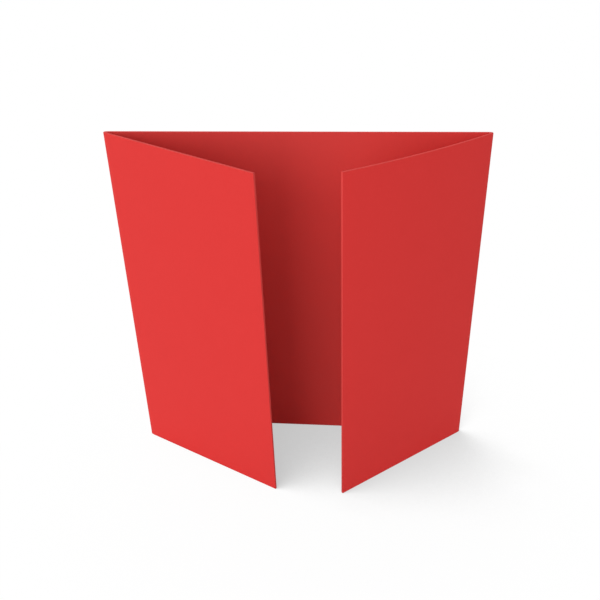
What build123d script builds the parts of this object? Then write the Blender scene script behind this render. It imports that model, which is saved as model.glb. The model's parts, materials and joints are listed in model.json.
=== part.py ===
from build123d import *
import math
import os

# A square gate-fold card: one sheet of heavy dyed-through board, creased twice, so that two leaves shut
# over the back panel like a pair of gates. It stands on the cut edge along its foot, with both leaves
# part way open. Seen from above, the back panel runs along X, the reader stands at -Y, and each leaf
# turns about the upright axis of its own fold.
#
# At a fold the board is pressed into a round bead. The bead is centred on the fold axis, and the boards
# on both sides of it end in coves round the same axis, so the fold keeps its shape at every angle.

# The sheet, in millimetres
card_width = 148.0       # over the two folds
card_height = 148.0      # from the foot to the head
board = 0.95             # thickness of the board
left_leaf_width = 72.5   # of the left leaf, from the nose of its fold to its free edge
right_leaf_width = 71.0  # of the right leaf, which is trimmed a little narrower

# The folds
fold_gap = 0.2           # between the inner faces beside a fold, with the leaf shut
crease_pinch = 0.1       # what the score takes off the board's thickness at the bead
crease_play = 0.08       # round a bead, inside the cove of the leaf that turns on it
lip_gap = 0.15           # from the fold axis to the lip of each board, which leaves the score open outside

# How the leaves stand, angles in degrees
left_angle = 34.3        # between the back panel and the left leaf, along the head
right_angle = 34.0       # the same for the right leaf
left_toe_in = 3.1        # the left leaf's free corner at the foot lies this far inside the one at the head
right_toe_out = 2.0      # the right leaf's lies this far outside
right_curl = 1.7         # rise of the right leaf's head above its chord, outwards

# How the back panel stands: its head is straight, and its foot bellies out behind the folds
foot_lean = 4.0          # angle at which the foot leaves the right fold, backwards
foot_run = 88.0          # length of the straight stretch of the foot, from the right fold

# Worked out from the sizes above
pivot = fold_gap / 2                       # from a fold axis to the inner face of the board
skin = pivot + board                       # from a fold axis to the outer face
bead_radius = skin - crease_pinch
fold_x = card_width / 2 - bead_radius      # from the middle of the card to each fold axis
left_reach = left_leaf_width - bead_radius      # from the left fold axis to the leaf's free edge
right_reach = right_leaf_width - bead_radius    # and from the right one
left_fold = Vector(-fold_x, 0)
right_fold = Vector(fold_x, 0)


def fold_rod(fold, radius):
    """An upright rod round a fold axis, as tall as the card."""
    rod = Cylinder(radius, card_height, align=(Align.CENTER, Align.CENTER, Align.MIN))
    return Pos(fold.X, fold.Y) * rod


def outline(curves):
    """The face inside a closed row of curves."""
    return make_face(Wire(curves))


def bowed(start, end, rise):
    """A straight edge, or an arc whose middle stands off the chord by rise along Y."""
    if rise == 0:
        return Line(start, end)
    middle = ((start[0] + end[0]) / 2, start[1] + rise)
    return ThreePointArc(start, middle, end)


def leaf_strip(side, reach, curl):
    """A leaf seen from above, beside a fold axis at the origin: side 1 puts the outer face at +Y."""
    near, far = side * pivot, side * skin
    inner = bowed((lip_gap, near), (reach, near), side * curl)
    outer = bowed((reach, far), (lip_gap, far), side * curl)
    return outline([inner, Line(inner @ 1, outer @ 0), outer, Line(outer @ 1, inner @ 0)])


def leaf(fold, side, reach, heading, twist, curl):
    """A leaf from its straight foot to its head, which points along heading and may curl outwards."""
    foot = Pos(fold.X, fold.Y) * Rot(0, 0, heading + twist) * leaf_strip(side, reach, 0)
    head = Pos(fold.X, fold.Y, card_height) * Rot(0, 0, heading) * leaf_strip(side, reach, curl)
    return loft([foot, head], ruled=True) - fold_rod(fold, bead_radius + crease_play)


def foot_curve(offset):
    """The back panel's foot seen from above, offset behind the folds: straight, then an arc."""
    lean = math.radians(foot_lean)
    along = Vector(-math.cos(lean), math.sin(lean))
    behind = Vector(math.sin(lean), math.cos(lean))
    turn = right_fold + along * foot_run
    chord = left_fold - turn
    radius = chord.dot(chord) / (-2 * chord.dot(behind))
    centre = turn - behind * radius
    lip = (left_fold - centre).rotate(Axis.Z, -math.degrees(lip_gap / radius))
    run = Line(right_fold + along * lip_gap + behind * offset, turn + behind * offset)
    return [run, TangentArc(run @ 1, centre + lip + lip.normalized() * offset, tangent=along)]


def head_curve(offset):
    """The back panel's head seen from above, offset behind the folds and parted where the foot turns."""
    lip = fold_x - lip_gap
    turn = Vector(fold_x - foot_run, offset)
    return [Line((lip, offset), turn), Line(turn, (-lip, offset))]


def panel_strip(curve):
    """The back panel's board seen from above, between its inner and outer faces."""
    inner, outer = curve(pivot), curve(skin)
    left_end = Line(inner[1] @ 1, outer[1] @ 1)
    right_end = Line(outer[0] @ 0, inner[0] @ 0)
    return outline([*inner, left_end, *outer[::-1], right_end])


def back_panel():
    """The back panel, ruled from its bellied foot to its straight head."""
    foot = panel_strip(foot_curve)
    head = Pos(0, 0, card_height) * panel_strip(head_curve)
    panel = loft([foot, head], ruled=True)
    return panel - fold_rod(left_fold, bead_radius) - fold_rod(right_fold, bead_radius)


left_twist = math.degrees(math.atan(left_toe_in / left_reach))
right_twist = math.degrees(math.atan(right_toe_out / right_reach))
pieces = {
    "back_panel": back_panel(),
    "left_crease": fold_rod(left_fold, bead_radius),
    "right_crease": fold_rod(right_fold, bead_radius),
    "left_leaf": leaf(left_fold, -1, left_reach, -left_angle, left_twist, 0),
    "right_leaf": leaf(right_fold, 1, right_reach, 180 + right_angle, right_twist, right_curl),
}

# The origin is on the table, at the middle of the standing card
middle = Compound(list(pieces.values())).bounding_box().center()
os.makedirs("parts", exist_ok=True)
for name, piece in pieces.items():
    export_step(Pos(-middle.X, -middle.Y) * piece, f"parts/{name}.step")
print("fold axes at x = +/-%.4f, y = %.4f mm" % (fold_x, -middle.Y))
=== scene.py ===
import json
import math

import bmesh
import bpy
import numpy as np
from mathutils import Matrix, Vector


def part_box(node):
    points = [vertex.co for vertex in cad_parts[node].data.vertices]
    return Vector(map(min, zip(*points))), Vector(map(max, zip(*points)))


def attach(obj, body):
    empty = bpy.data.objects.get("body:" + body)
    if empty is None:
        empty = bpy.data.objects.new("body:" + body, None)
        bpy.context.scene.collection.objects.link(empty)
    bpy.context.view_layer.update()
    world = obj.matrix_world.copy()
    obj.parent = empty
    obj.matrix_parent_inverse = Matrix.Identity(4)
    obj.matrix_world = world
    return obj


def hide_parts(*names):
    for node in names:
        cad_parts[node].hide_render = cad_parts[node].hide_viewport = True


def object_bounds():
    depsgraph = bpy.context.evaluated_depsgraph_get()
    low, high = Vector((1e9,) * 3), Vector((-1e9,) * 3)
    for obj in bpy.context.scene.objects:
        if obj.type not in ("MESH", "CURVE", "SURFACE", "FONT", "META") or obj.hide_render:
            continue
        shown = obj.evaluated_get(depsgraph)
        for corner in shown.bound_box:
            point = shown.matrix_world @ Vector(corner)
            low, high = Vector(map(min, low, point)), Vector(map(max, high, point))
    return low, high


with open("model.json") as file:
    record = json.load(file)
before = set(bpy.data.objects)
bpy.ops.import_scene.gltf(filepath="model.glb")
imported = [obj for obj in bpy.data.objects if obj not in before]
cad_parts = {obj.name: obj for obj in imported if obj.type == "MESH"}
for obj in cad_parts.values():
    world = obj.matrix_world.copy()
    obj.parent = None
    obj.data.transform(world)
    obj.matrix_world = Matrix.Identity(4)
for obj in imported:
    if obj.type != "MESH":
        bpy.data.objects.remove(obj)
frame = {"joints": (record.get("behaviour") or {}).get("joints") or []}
cad_low, cad_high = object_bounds()


# ---- Back panel ---------------------------------------------------------------------------------------
# The square back of the card: heavy board, dyed red right through and cut with a sharp knife. It stands
# on the cut edge along its foot, which bellies out backwards between the folds, and its head is straight.
# Along each fold the score has pressed its outer face down, and it ends in a cove round the fold's bead.

board = 0.00094           # thickness of the board, in metres like every length here
inner_face = 0.0001       # from a fold axis to the inner face of a board
outer_face = inner_face + board      # and to its outer face
arris = 0.0001            # rounding of the cut edges, which the knife leaves a little soft
arris_start = 0.0006      # over which that rounding begins beside a fold, where the board is crushed
lip_gap = 0.00015         # from a fold axis to the lip of a board's outer face
score_depth = 0.00006     # how far the score presses the outer face down at the lip
score_width = 0.0011      # over which that face rises again
cove_radius = 0.000935    # of the hollow end beside a fold
cove_mouth = math.sqrt(cove_radius ** 2 - inner_face ** 2)     # from a fold axis to the inner face's start
foot_lean = math.radians(4)          # at which the foot leaves the right fold, backwards
foot_run = 0.088          # length of its straight stretch, before the arc to the left fold

arris_points = 5          # across the rounding of a cut edge
cove_points = 12          # across a hollow end
cove_pairs = 11           # pairs of inner and outer points that one face closes beside a hollow end
panel_stations = 120      # along the back panel, from fold to fold
height_stations = 72      # from the foot to the head
weld = 0.0000001          # points of a mesh that lie closer than this are one point

card_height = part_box("back_panel")[1].z
fold_axes = {joint["name"]: np.array(joint["pos_m"][:2]) for joint in frame["joints"]}
left_axis, right_axis = fold_axes["left_fold"], fold_axes["right_fold"]
panel_width = right_axis[0] - left_axis[0]


def eased(share):
    """A share from 0 to 1 that starts and ends gently: three times its square less twice its cube."""
    share = np.clip(share, 0, 1)
    return share * share * (3 - 2 * share)


def crowded(count, crowding=0.95):
    """Stations from 0 to 1 that crowd towards both ends: u less crowding times sin(2 pi u) / (2 pi)."""
    u = np.linspace(0, 1, count)
    return u - crowding * np.sin(2 * np.pi * u) / (2 * np.pi)


def outline_points(along, off, score=0.0, cut=0.0, soft=1.0):
    """Points of a board seen from above: how far along it and off the fold axis they lie.

    Each also has the shares to which it lies on a score and on a cut edge, and the share of the arris
    that the foot and the head have there."""
    return np.stack(np.broadcast_arrays(along, off, score, cut, soft), axis=1)


def fold_end():
    """The inner and outer half of a board's hollow end, each from its middle: an arc round the fold axis.

    Its first and last points are left out, because the faces begin there."""
    first = math.asin(inner_face / cove_radius)
    last = math.acos(lip_gap / cove_radius)
    angle = np.linspace(first, last, cove_points)
    arc = outline_points(cove_radius * np.cos(angle), cove_radius * np.sin(angle), score=1, soft=0)
    half = cove_points // 2
    return arc[half - 1:0:-1], arc[half:-1]


def faces(inner_span, outer_span, to_fold, stations):
    """The inner and outer face of a board, each between its own two ends.

    The outer face lies a board's thickness off the inner one, less the score's depth times the share of
    the score there, which falls from 1 at the lip to 0 over the score's width. The share of the arris
    rises from 0 where each face begins beside a fold. to_fold gives how far a station is from the
    nearest fold."""
    inner = inner_span[0] + (inner_span[1] - inner_span[0]) * crowded(stations)
    outer = outer_span[0] + (outer_span[1] - outer_span[0]) * crowded(stations)
    inner_score, outer_score = (1 - eased((to_fold(s) - lip_gap) / score_width) for s in (inner, outer))
    inner_soft = eased((to_fold(inner) - inner_span[0]) / arris_start)
    outer_soft = eased((to_fold(outer) - outer_span[0]) / arris_start)
    return (
        outline_points(inner, inner_face, inner_score, soft=inner_soft),
        outline_points(outer, outer_face - score_depth * outer_score, outer_score, soft=outer_soft),
    )


def closing_faces(inner, outer, hollow_start, hollow_end):
    """Faces that close a piece between its inner and outer points: quads from each pair to the next.

    Beside a hollow end such quads would lie across the hollow. There one face takes in all the pairs as
    far as one whose line runs through the board alone."""
    start = cove_pairs - 1 if hollow_start else 0
    stop = len(inner) - (cove_pairs - 1 if hollow_end else 0)
    quads = [inner[start:stop - 1], inner[start + 1:stop], outer[start + 1:stop], outer[start:stop - 1]]
    closing = np.stack(quads, axis=1).tolist()
    if hollow_start:
        closing.append([*inner[:start + 1].tolist(), *outer[start::-1].tolist()])
    if hollow_end:
        closing.append([*inner[stop - 1:].tolist(), *outer[:stop - 2:-1].tolist()])
    return closing


def welded_piece(name, points, sides, shares):
    """A piece made of these points and sides, which keeps each share as an attribute of its points.

    Points that fall together, where the rounded cut edges meet at a corner, are welded into one."""
    mesh = bpy.data.meshes.new(name)
    mesh.from_pydata(points.tolist(), [], sides)
    for share, values in shares.items():
        mesh.attributes.new(share, "FLOAT", "POINT").data.foreach_set("value", values)
    shape = bmesh.new()
    shape.from_mesh(mesh)
    bmesh.ops.remove_doubles(shape, verts=shape.verts, dist=weld)
    bmesh.ops.recalc_face_normals(shape, faces=shape.faces)
    shape.to_mesh(mesh)
    shape.free()
    mesh.shade_smooth()
    piece = bpy.data.objects.new(name, mesh)
    bpy.context.scene.collection.objects.link(piece)
    return piece


def upright_piece(name, inner, outer, place, hollow_start=False, hollow_end=False):
    """A closed piece whose outline, seen from above, is carried from the foot to the head.

    The outline goes along the inner points and back along the outer ones. Near the foot and the head it
    draws in by arris (1 - cos a), times its points' share of the arris, while it still rises by arris
    sin a, so both ends have the same soft cut edge. place turns distances along and off, and heights,
    into room places. The attributes score and cut are the points' shares, and inside is 1 on the inner
    half."""
    loop = np.concatenate([inner, outer[::-1]])
    flat = loop[:, :2]
    tangent = np.roll(flat, -1, axis=0) - np.roll(flat, 1, axis=0)
    normal = np.stack([tangent[:, 1], -tangent[:, 0]], axis=1)
    normal /= np.linalg.norm(normal, axis=1, keepdims=True)
    turn = np.linspace(0, np.pi / 2, arris_points)
    rise = arris * (1 - np.sin(turn))
    straight = arris + (card_height - 2 * arris) * crowded(height_stations)[1:-1]
    height = np.concatenate([rise[::-1], straight, card_height - rise])
    end_turn = np.concatenate([turn[::-1], np.zeros(len(straight)), turn])
    drawn_in = arris * (1 - np.cos(end_turn))[:, None] * loop[:, 4]
    grid = flat - drawn_in[..., None] * normal
    rows, around = grid.shape[:2]
    points = place(grid[..., 0], grid[..., 1], np.repeat(height[:, None], around, axis=1)).reshape(-1, 3)

    ring = np.arange(rows * around).reshape(rows, around)
    ahead = np.roll(ring, -1, axis=1)
    sides = np.stack([ring[:-1], ahead[:-1], ahead[1:], ring[1:]], axis=-1).reshape(-1, 4).tolist()
    for end in (ring[0], ring[-1]):
        sides += closing_faces(end[:len(inner)], end[:len(inner) - 1:-1], hollow_start, hollow_end)

    cut = np.maximum(np.sin(end_turn)[:, None] ** 2, loop[:, 3])
    inside = np.repeat([1.0, 0.0], [len(inner), len(outer)])
    shares = {"score": loop[:, 2], "cut": cut, "inside": inside}
    shares = {share: np.broadcast_to(values, cut.shape).ravel() for share, values in shares.items()}
    return welded_piece(name, points, sides, shares)


class Socket:
    """A value in a node tree. Arithmetic on it adds Math nodes, and node adds any other node."""

    def __init__(self, tree, link=None):
        self.tree = tree
        self.link = link

    def node(self, kind, settings=None, inputs=None, output=0):
        """Adds a node, makes its settings, fills its sockets with values or links, and gives an output."""
        made = self.tree.nodes.new(kind)
        for name, value in (settings or {}).items():
            setattr(made, name, value)
        for name, value in (inputs or {}).items():
            if isinstance(value, Socket):
                self.tree.links.new(value.link, made.inputs[name])
            else:
                made.inputs[name].default_value = value
        return Socket(self.tree, made.outputs[output]) if made.outputs else None

    def maths(self, operation, first, second):
        return self.node("ShaderNodeMath", {"operation": operation}, {0: first, 1: second})

    def __add__(self, other):
        return self.maths("ADD", self, other)

    def __radd__(self, other):
        return self.maths("ADD", other, self)

    def __sub__(self, other):
        return self.maths("SUBTRACT", self, other)

    def __rsub__(self, other):
        return self.maths("SUBTRACT", other, self)

    def __mul__(self, other):
        return self.maths("MULTIPLY", self, other)

    def __rmul__(self, other):
        return self.maths("MULTIPLY", other, self)


def empty_tree(owner):
    """The node tree of a material or a world, with nothing in it."""
    owner.use_nodes = True
    owner.node_tree.nodes.clear()
    return Socket(owner.node_tree)


def red_board_material():
    """Uncoated board dyed right through: matt, with the tooth and the faint clouds of its fibres.

    Fibres lie along the folds, so their grain is drawn out upwards. The cut edges are paler and rougher,
    because cut fibres stand up there, and the scores are streaked where bent fibres have started. The
    inner face is painted paler and greyer, a painted sheen that stands in for the light lifting its shaded
    parts."""
    thin_dye = (0.765, 0.037, 0.034, 1)
    full_dye = (0.715, 0.025, 0.022, 1)
    # The inner face's painted sheen: a paler, greyer red that stands in for the light lifting its shaded
    # parts
    inner_painted_sheen = (0.77, 0.082, 0.073, 1)
    cut_fibre = (0.72, 0.06, 0.054, 1)
    inner_painted_sheen_cover = 0.5         # share of the inner face's colour that is painted sheen, standing in for light on its shade
    cut_cover = 0.85          # share of a cut edge's colour that is cut fibre
    score_cover = 0.25        # the same on a score, where its streaks add to it and take from it
    streak_cover = 0.9
    roughness = 0.84
    gloss = 0.35
    tooth_depth = 0.00004
    tooth_strength = 0.3
    finer_lumps = 0.6         # how much each finer size of lumps in a grain counts against the last

    material = bpy.data.materials.new("red_board")
    tree = empty_tree(material)
    place = tree.node("ShaderNodeTexCoord", output="Object")

    def grain(lumps, detail, stretch=1.0):
        """Noise about 0, with so many lumps to the metre, drawn out upwards by stretch."""
        drawn = tree.node("ShaderNodeMapping", inputs={"Vector": place, "Scale": (1, 1, 1 / stretch)})
        inputs = {"Vector": drawn, "Scale": lumps, "Detail": detail, "Roughness": finer_lumps}
        return tree.node("ShaderNodeTexNoise", inputs=inputs) - 0.5

    def mixed(share, first, second):
        """A colour between two others: the first where share is 0, the second where it is 1.

        The node's inputs 6 and 7 and its output 2 are those for colours."""
        settings = {"data_type": "RGBA", "clamp_factor": True}
        return tree.node("ShaderNodeMix", settings, {0: share, 6: first, 7: second}, output=2)

    def attribute(name):
        return tree.node("ShaderNodeAttribute", {"attribute_name": name}, output="Fac")

    cloud = grain(lumps=70, detail=2)
    felt = grain(lumps=700, detail=3)
    fibre = grain(lumps=3800, detail=2, stretch=6)
    streak = grain(lumps=2600, detail=3, stretch=14)
    cut, score, inside = attribute("cut"), attribute("score"), attribute("inside")

    # Each grain is weighed by how much it shows: the finest most in the dye, and in the tooth where
    # fibres have been cut or bent. The felt varies the roughness, and a cut edge is rougher
    dyed = mixed(0.5 - cloud * 0.2 - felt * 0.4 - fibre * 0.6, thin_dye, full_dye)
    # Painted sheen on the whole inner face, standing in for the light that lifts its shaded parts
    body = mixed(inside * inner_painted_sheen_cover, dyed, inner_painted_sheen)
    started = mixed(score * (score_cover + streak * streak_cover), body, cut_fibre)
    colour = mixed(cut * cut_cover, started, cut_fibre)
    tooth = felt * 0.35 + fibre * 0.5 + cut * fibre * 1.2 + score * streak * 1.2
    bump = {"Strength": tooth_strength, "Distance": tooth_depth, "Height": tooth}
    inputs = {
        "Base Color": colour,
        "Roughness": roughness + felt * 0.12 + cut * 0.1,
        "Specular IOR Level": gloss,
        "Normal": tree.node("ShaderNodeBump", inputs=bump),
    }
    surface = tree.node("ShaderNodeBsdfPrincipled", inputs=inputs)
    tree.node("ShaderNodeOutputMaterial", inputs={"Surface": surface})
    return material


def dress(piece, body, node):
    """Finishes a piece of the card in red board. It rides on a body and stands for one of its nodes."""
    piece.data.materials.append(red_board)
    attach(piece, body)
    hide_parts(node)


def panel_place(along, off, height):
    """Places on the back panel, with along counted from the right fold and off counted backwards.

    The head is a straight line. The foot is a line that leans back, then an arc tangent to it that ends
    at the left fold. Between them every upright line of the board is straight."""
    ahead = np.array([-math.cos(foot_lean), math.sin(foot_lean)])
    behind = np.array([math.sin(foot_lean), math.cos(foot_lean)])
    arc_start = right_axis + ahead * foot_run
    chord = left_axis - arc_start
    radius = chord @ chord / (-2 * chord @ behind)
    whole_turn = 2 * math.asin(np.linalg.norm(chord) / (2 * radius))
    line = right_axis + along[..., None] * ahead + off[..., None] * behind
    angle = foot_lean - whole_turn * (along - foot_run) / (panel_width - foot_run)
    outwards = np.stack([np.sin(angle), np.cos(angle)], axis=-1)
    arc = arc_start - behind * radius + (radius + off)[..., None] * outwards
    foot = np.where((along > foot_run)[..., None], arc, line)
    head = np.stack([right_axis[0] - along, right_axis[1] + off], axis=-1)
    share = (height / card_height)[..., None]
    return np.concatenate([foot + (head - foot) * share, height[..., None]], axis=-1)


def panel_outline():
    """The back panel between its two folds: a hollow end, the two faces, and the same end mirrored."""
    def to_fold(along):
        return np.minimum(along, panel_width - along)

    def mirrored(end):
        """The same end at the other fold: its points in reverse, as far from there as they were here."""
        other = end[::-1].copy()
        other[:, 0] = panel_width - other[:, 0]
        return other

    spans = [(gap, panel_width - gap) for gap in (cove_mouth, lip_gap)]
    middle = faces(*spans, to_fold, panel_stations)
    return [np.concatenate([end, face, mirrored(end)]) for end, face in zip(fold_end(), middle)]


red_board = red_board_material()
back_board = upright_piece(
    "back_panel_board", *panel_outline(), panel_place, hollow_start=True, hollow_end=True
)
dress(back_board, "back", "back_panel")


# ---- Creases ------------------------------------------------------------------------------------------
# Where the board is folded the score has crushed it into an upright bead of bruised fibres, which shows
# as the rounded nose of the fold. It is the same dyed board, drawn into shallow ridges along the fold,
# and stays with the back panel while the leaf turns round it.

bead_radius = 0.00092
bead_points = 48          # round the bead
ridge_depth = 0.000018
ridge_counts = (5, 8, 13)            # of the three sizes of ridges round the bead
ridge_wander = ((1.7, 210, 0), (0.9, 530, 1.3))      # with the height: radians, radians per metre, start
wander_growth = 0.2       # by which the wander grows with each ridge in the count


def bead_outline():
    """The two halves of a circle round the fold axis."""
    angle = (np.arange(bead_points) + 0.5) * 2 * np.pi / bead_points
    circle = outline_points(bead_radius * np.cos(angle), bead_radius * np.sin(angle), score=1)
    half = bead_points // 2
    return circle[:half], circle[:half - 1:-1]


def bead_place(axis):
    """Places on the bead round an axis, drawn in towards it by ridges.

    Their depth follows the mean of three sines of n times the angle round the axis, with n the counts of
    ridges. Each is turned by n squared, and by a wander: a slow and a quick sine of the height, which
    turn it more the larger n is."""
    def place(along, off, height):
        angle = np.arctan2(off, along)
        wander = sum(most * np.sin(height * rate + start) for most, rate, start in ridge_wander)
        turns = [n * angle + n * n + wander * (1 + wander_growth * n) for n in ridge_counts]
        waves = sum(np.sin(turn) for turn in turns) / len(turns)
        drawn = 1 - ridge_depth / bead_radius * (0.5 + 0.5 * waves)
        return np.stack([axis[0] + along * drawn, axis[1] + off * drawn, height], axis=-1)
    return place


for side, axis in (("left", left_axis), ("right", right_axis)):
    bead = upright_piece(f"{side}_crease_bead", *bead_outline(), bead_place(axis))
    dress(bead, "back", f"{side}_crease")


# ---- Left leaf ----------------------------------------------------------------------------------------
# The left gate: a little under half as wide as the card, from the same sheet, so that the two gates just
# miss each other when they are shut. It has sprung part way open on its fold. Its face is flat, and its
# foot is pushed a little further in than its head, which twists the leaf.

left_reach = 0.07155      # from the fold axis to the free edge
left_heading = math.radians(-34.3)   # of the leaf's head, from the fold to the free edge
left_toe_in = 0.0031      # how far the free corner at the foot lies inside the one at the head
leaf_stations = 84        # along a leaf, from its fold to its free edge


def leaf_outline(reach):
    """A leaf seen from above: its hollow end, its two faces and the cut edge at its free side.

    The cut edge's rounding goes on by arris sin a while it draws in by arris (1 - cos a)."""
    def to_fold(along):
        return along

    turn = np.linspace(0, np.pi / 2, arris_points)[1:]
    ahead = reach - arris * (1 - np.sin(turn))
    drawn_in = arris * (1 - np.cos(turn))
    offs = (inner_face + drawn_in, outer_face - drawn_in)
    free_end = [outline_points(ahead, off, cut=np.sin(turn) ** 2) for off in offs]
    spans = [(gap, reach - arris) for gap in (cove_mouth, lip_gap)]
    middle = faces(*spans, to_fold, leaf_stations)
    return [np.concatenate(parts) for parts in zip(fold_end(), middle, free_end)]


def leaf_place(axis, side, reach, heading, twist, curl):
    """Places on a leaf, which runs from the fold axis along heading. side 1 has its outer face to the left
    of heading and side -1 to the right.

    The foot is straight and turned by twist. The head rises off its chord by curl times 4 u (1 - u), with
    u the share of the way to the free edge. Between them every upright line of the board is straight."""
    def turned(along, off, angle):
        ahead = np.array([math.cos(angle), math.sin(angle)])
        outwards = side * np.array([-math.sin(angle), math.cos(angle)])
        return axis + along[..., None] * ahead + off[..., None] * outwards

    def place(along, off, height):
        u = (along - lip_gap) / (reach - lip_gap)
        foot = turned(along, off, heading + twist)
        head = turned(along, off + curl * 4 * u * (1 - u), heading)
        share = (height / card_height)[..., None]
        return np.concatenate([foot + (head - foot) * share, height[..., None]], axis=-1)
    return place


left_twist = math.atan(left_toe_in / left_reach)
left_place = leaf_place(left_axis, -1, left_reach, left_heading, left_twist, curl=0)
left_board = upright_piece("left_leaf_board", *leaf_outline(left_reach), left_place, hollow_start=True)
dress(left_board, "left_gate", "left_leaf")


# ---- Right leaf ---------------------------------------------------------------------------------------
# The right gate, trimmed 1.5 mm narrower than the left one. Its head has curled outwards between the fold
# and its free corner, as a leaf does that was once pressed flat by its neighbour, and its foot stands
# straight on the table, a little outside the head's free corner.

right_reach = 0.07005
right_heading = math.radians(180 + 34)
right_toe_out = 0.002     # how far the free corner at the foot lies outside the one at the head
right_curl = 0.0017       # rise of the middle of the head above its chord

right_twist = math.atan(right_toe_out / right_reach)
right_place = leaf_place(right_axis, 1, right_reach, right_heading, right_twist, right_curl)
right_board = upright_piece("right_leaf_board", *leaf_outline(right_reach), right_place, hollow_start=True)
dress(right_board, "right_gate", "right_leaf")


# ---- Table --------------------------------------------------------------------------------------------
# A plain white table top that goes on out of sight. It isn't part of the card. It is lit like the card,
# and the camera sees it mixed with a white glow, into which a soft grey shadow of the card is painted,
# so that it reads as white paper with a soft grey shadow.

table_size = 6.0
table_drop = 0.00002      # below the card's foot
laminate = (0.93, 0.93, 0.93, 1)
near_glow = 0.97          # share of the glow beside the card, which rises to 1 further out
glow_rise = (0.07, 0.14)  # distances from the card's middle between which it rises
shade_bearing = math.radians(-80)    # the painted shadow falls as if the light came from the left, a little to the front
shade_rise = math.radians(40)        # and from so far above the table
shade_reach = 0.12        # how far off the card still shades it
deepest_shade = 0.5       # the glow where the card hides all of that side: the painted shadow at its deepest
open_gain = 0.89          # what is added where it hides none of it, before the glow is held at 1


def seen_or_mirrored(tree):
    """1 for rays from the camera, and for those that a glossy or clear surface sends on, else 0."""
    ways = ("Is Camera Ray", "Is Glossy Ray", "Is Transmission Ray")
    rays = [tree.node("ShaderNodeLightPath", output=way) for way in ways]
    return tree.node("ShaderNodeClamp", inputs={"Value": rays[0] + rays[1] + rays[2]})


def towards(bearing, rise):
    """The direction of a light, from its bearing off the front and its rise above the table."""
    return Vector((
        math.sin(bearing) * math.cos(rise),
        -math.cos(bearing) * math.cos(rise),
        math.sin(rise),
    ))


def table_material():
    """White matt laminate, mixed with a white glow for the rays that show it.

    The glow is 1, or darker by a painted shadow where the card hides one side of it: the deepest shade,
    plus the gain times the square of the share of a half round about that side that is open."""
    material = bpy.data.materials.new("white_table")
    tree = empty_tree(material)
    matt = tree.node("ShaderNodeBsdfDiffuse", inputs={"Color": laminate})
    side = towards(shade_bearing, shade_rise)
    facing = tree.node("ShaderNodeCombineXYZ", inputs={"X": side.x, "Y": side.y, "Z": side.z})
    around = {"Distance": shade_reach, "Normal": facing}
    # The painted shadow: the share of a half round towards that side that the card leaves open
    opened = tree.node("ShaderNodeAmbientOcclusion", inputs=around, output="AO")
    unclamped = opened * opened * open_gain + deepest_shade
    brightness = tree.node("ShaderNodeClamp", inputs={"Value": unclamped})
    glow = tree.node("ShaderNodeEmission", inputs={"Color": brightness, "Strength": 1.0})
    place = tree.node("ShaderNodeTexCoord", output="Object")
    distance = tree.node("ShaderNodeVectorMath", {"operation": "LENGTH"}, {0: place}, output="Value")
    rise = {
        "Value": distance,
        "From Min": glow_rise[0],
        "From Max": glow_rise[1],
        "To Min": near_glow,
        "To Max": 1.0,
    }
    share = seen_or_mirrored(tree) * tree.node("ShaderNodeMapRange", inputs=rise)
    surface = tree.node("ShaderNodeMixShader", inputs={0: share, 1: matt, 2: glow})
    tree.node("ShaderNodeOutputMaterial", inputs={"Surface": surface})
    return material


half = table_size / 2
corners = [(x, y, -table_drop) for x, y in ((-half, -half), (half, -half), (half, half), (-half, half))]
table_mesh = bpy.data.meshes.new("table_top")
table_mesh.from_pydata(corners, [], [(0, 1, 2, 3)])
table_mesh.materials.append(table_material())
table = bpy.data.objects.new("table_top", table_mesh)
bpy.context.scene.collection.objects.link(table)


# ---- Light --------------------------------------------------------------------------------------------
# A plain white room with three soft lamps: a key low in front of the card, to its left, which shines in
# between the leaves, a weak fill from the right, and one that stands behind the card on the left and
# shines over its head on the inside of the right leaf.

room_level = 0.5          # brightness of the light from the room, where 1 is white; it is seen as 1

# Bearing from the front towards the right, and rise, in degrees, distance and size in metres, and level:
# the brightness of a white face turned to the lamp, where 1 is white
lamps = {
    "key_lamp": (-30, 15, 1.2, 0.9, 0.4),
    "fill_lamp": (60, 40, 1.2, 0.9, 0.073),
    "back_lamp": (-130, 30, 1.2, 0.9, 0.57),
}

world = bpy.data.worlds.new("room")
bpy.context.scene.world = world
tree = empty_tree(world)
strength = room_level + (1 - room_level) * seen_or_mirrored(tree)
room = tree.node("ShaderNodeBackground", inputs={"Color": (1, 1, 1, 1), "Strength": strength})
tree.node("ShaderNodeOutputWorld", inputs={"Surface": room})

card_middle = (cad_low + cad_high) / 2
for name, (bearing, rise, distance, size, level) in lamps.items():
    light = bpy.data.lights.new(name, "AREA")
    light.size = size
    light.energy = level * (math.pi * distance) ** 2
    lamp = bpy.data.objects.new(name, light)
    bpy.context.scene.collection.objects.link(lamp)
    side = towards(math.radians(bearing), math.radians(rise))
    lamp.location = card_middle + side * distance
    lamp.rotation_euler = side.to_track_quat("Z", "Y").to_euler()
bpy.context.scene.view_settings.view_transform = "Standard"


# ---- Camera -------------------------------------------------------------------------------------------
# It looks down on the standing card from in front, a little to the right of its middle. Its frame is
# shifted to the left and up, which brings the card back into the middle of the view.

camera_place = (0.009492, -0.273645, 0.248145)
camera_pitch = math.radians(33.128)  # below the horizon
camera_yaw = math.radians(1.703)     # towards the right
camera_roll = math.radians(0.682)
camera_frame = 36         # width of the frame, in millimetres
camera_lens = 47.102      # in millimetres
camera_shift = (-0.075, 0.05)        # in widths of the frame

camera_data = bpy.data.cameras.new("camera")
camera_data.sensor_width = camera_frame
camera_data.lens = camera_lens
camera_data.shift_x, camera_data.shift_y = camera_shift
camera = bpy.data.objects.new("camera", camera_data)
bpy.context.scene.collection.objects.link(camera)
bpy.context.scene.camera = camera
camera.matrix_world = (
    Matrix.Translation(camera_place)
    @ Matrix.Rotation(-camera_yaw, 4, "Z")
    @ Matrix.Rotation(math.pi / 2 - camera_pitch, 4, "X")
    @ Matrix.Rotation(camera_roll, 4, "Z")
)
